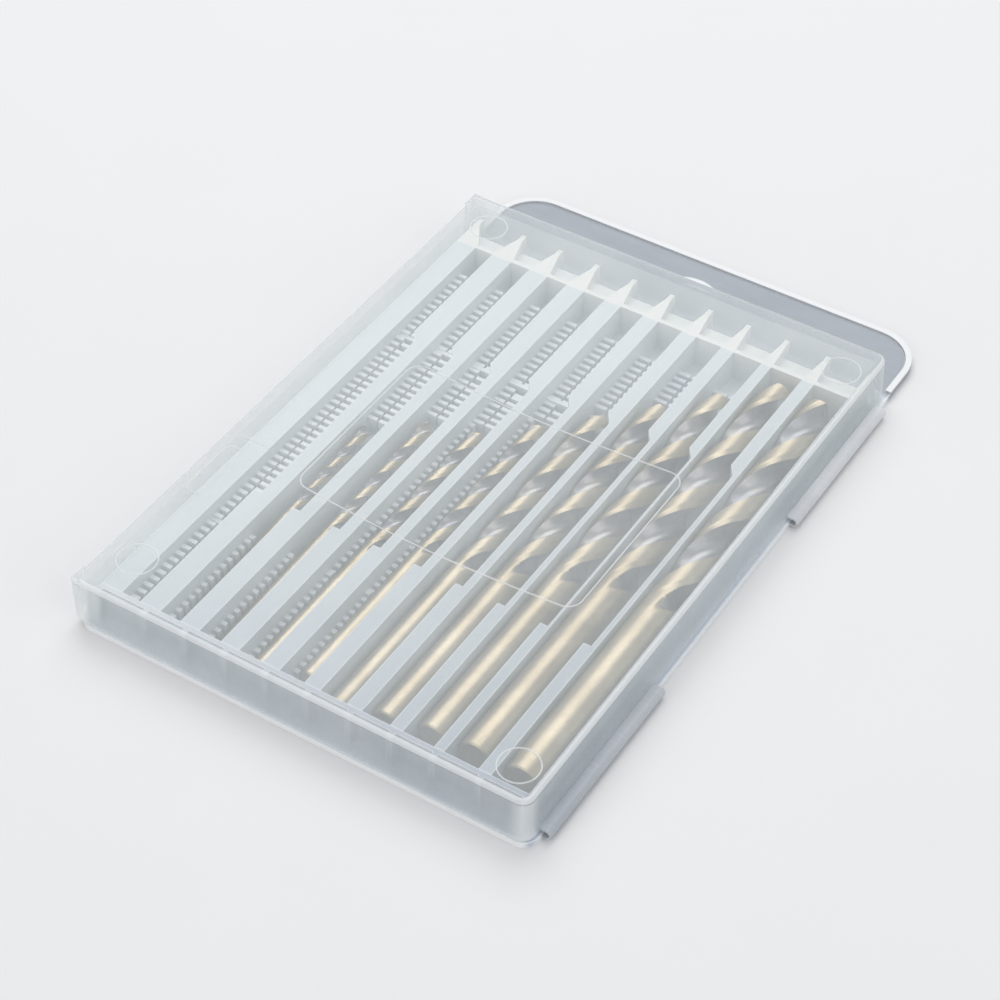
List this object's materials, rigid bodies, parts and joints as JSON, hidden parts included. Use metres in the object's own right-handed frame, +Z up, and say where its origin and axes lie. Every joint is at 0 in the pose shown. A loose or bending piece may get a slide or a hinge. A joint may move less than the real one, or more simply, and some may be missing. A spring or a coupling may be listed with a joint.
{
  "type": "drill bit case",
  "caption": "Flat translucent plastic drill bit case with a living-hinge lid, an end flap and a comb rack of graded twist drills.",
  "frame": {"origin": "centre of the case's footprint, on the surface that it lies on", "axes": "+X across the drills towards the hinge, +Y along the drills from the shanks to the tips and the flap, +Z up out of the lid"},
  "size_m": [0.0828, 0.1264, 0.0098],
  "materials": {
    "case_plastic": "frosted translucent polypropylene",
    "drill_steel": "high speed steel, bronze-gold tempered shank and bright ground flutes"
  },
  "bodies": {
    "base": {"base_plate": "case_plastic", "rack_front_wall": "case_plastic", "rack_rear_wall": "case_plastic", "rack_left_rail": "case_plastic", "rack_right_wall": "case_plastic", "rack_rib_1": "case_plastic", "rack_rib_2": "case_plastic", "rack_rib_3": "case_plastic", "rack_rib_4": "case_plastic", "rack_rib_5": "case_plastic", "rack_rib_6": "case_plastic", "rack_rib_7": "case_plastic", "rack_rib_8": "case_plastic", "rack_rib_9": "case_plastic", "comb_1": "case_plastic", "comb_2_front": "case_plastic", "comb_2": "case_plastic", "comb_3_front": "case_plastic", "comb_3": "case_plastic", "comb_4": "case_plastic", "comb_5": "case_plastic", "comb_6": "case_plastic", "comb_7": "case_plastic", "comb_8": "case_plastic", "hinge_web_front": "case_plastic", "hinge_web_rear": "case_plastic"},
    "lid": {"lid": "case_plastic"},
    "drill_bit_2_0mm": {"drill_bit_2_0mm": "drill_steel"},
    "drill_bit_2_5mm": {"drill_bit_2_5mm": "drill_steel"},
    "drill_bit_3_0mm": {"drill_bit_3_0mm": "drill_steel"},
    "drill_bit_3_3mm": {"drill_bit_3_3mm": "drill_steel"},
    "drill_bit_4_0mm": {"drill_bit_4_0mm": "drill_steel"},
    "drill_bit_4_5mm": {"drill_bit_4_5mm": "drill_steel"},
    "drill_bit_5_0mm": {"drill_bit_5_0mm": "drill_steel"},
    "drill_bit_5_5mm": {"drill_bit_5_5mm": "drill_steel"},
    "drill_bit_6_0mm": {"drill_bit_6_0mm": "drill_steel"}
  },
  "joints": [
    {"name": "lid_hinge", "type": "hinge", "parent": "base", "child": "lid", "pos_m": [0.04057, 0, 0.00115], "axis": [0, 1, 0], "range_deg": [0, 104]},
    {"name": "drill_lift_2_0mm", "type": "slide", "parent": "base", "child": "drill_bit_2_0mm", "axis": [0, 0, 1], "range_m": [0, 0.00375]},
    {"name": "drill_lift_2_5mm", "type": "slide", "parent": "base", "child": "drill_bit_2_5mm", "axis": [0, 0, 1], "range_m": [0, 0.00364]},
    {"name": "drill_lift_3_0mm", "type": "slide", "parent": "base", "child": "drill_bit_3_0mm", "axis": [0, 0, 1], "range_m": [0, 0.00353]},
    {"name": "drill_lift_3_3mm", "type": "slide", "parent": "base", "child": "drill_bit_3_3mm", "axis": [0, 0, 1], "range_m": [0, 0.00347]},
    {"name": "drill_lift_4_0mm", "type": "slide", "parent": "base", "child": "drill_bit_4_0mm", "axis": [0, 0, 1], "range_m": [0, 0.003]},
    {"name": "drill_lift_4_5mm", "type": "slide", "parent": "base", "child": "drill_bit_4_5mm", "axis": [0, 0, 1], "range_m": [0, 0.0025]},
    {"name": "drill_lift_5_0mm", "type": "slide", "parent": "base", "child": "drill_bit_5_0mm", "axis": [0, 0, 1], "range_m": [0, 0.002]},
    {"name": "drill_lift_5_5mm", "type": "slide", "parent": "base", "child": "drill_bit_5_5mm", "axis": [0, 0, 1], "range_m": [0, 0.0015]},
    {"name": "drill_lift_6_0mm", "type": "slide", "parent": "base", "child": "drill_bit_6_0mm", "axis": [0, 0, 1], "range_m": [0, 0.001]}
  ]
}
